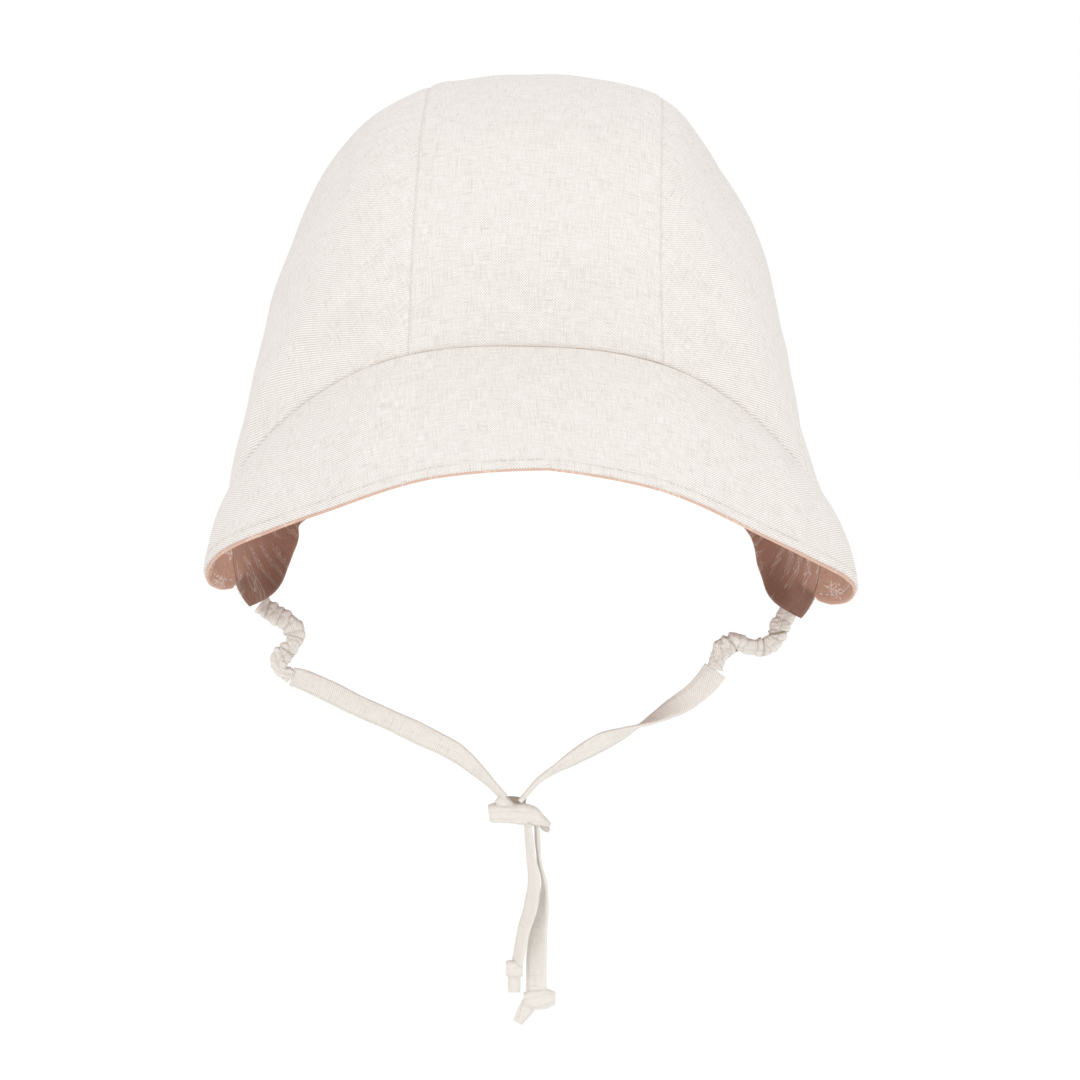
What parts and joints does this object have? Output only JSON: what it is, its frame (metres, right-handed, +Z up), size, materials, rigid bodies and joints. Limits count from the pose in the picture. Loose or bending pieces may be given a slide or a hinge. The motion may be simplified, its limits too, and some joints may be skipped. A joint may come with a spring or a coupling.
{
  "type": "baby sun bonnet",
  "caption": "Baby's linen sun bonnet: rounded panelled crown, deep flared brim round the face, printed cotton lining, and gathered ties knotted under the chin.",
  "frame": {"origin": "where the top of the head touches the crown's lining, at the middle of the bonnet", "axes": "+Z up, towards the crown's top, with the face opening looking along -Y and the wearer's right hand side at -X as seen from in front"},
  "size_m": [0.2284, 0.2289, 0.34],
  "materials": {
    "outer_linen": "plain-woven off-white linen with fine slubs, matt",
    "printed_lining": "dusty terracotta cotton with a pale small sprig print, matt",
    "tie_linen": "plain-woven off-white linen, folded and stitched flat, matt"
  },
  "bodies": {
    "root": {"crown_centre": "outer_linen", "crown_side_left": "outer_linen", "crown_side_right": "outer_linen", "brim": "outer_linen", "lining_centre": "printed_lining", "lining_side_left": "printed_lining", "lining_side_right": "printed_lining", "brim_lining": "printed_lining", "tie_gather_left": "tie_linen", "tie_gather_right": "tie_linen", "tie_strap_left": "tie_linen", "tie_strap_right": "tie_linen", "chin_knot": "tie_linen", "tie_tail_left": "tie_linen", "tie_tail_right": "tie_linen", "tail_knot_left": "tie_linen", "tail_knot_right": "tie_linen"}
  },
  "joints": []
}
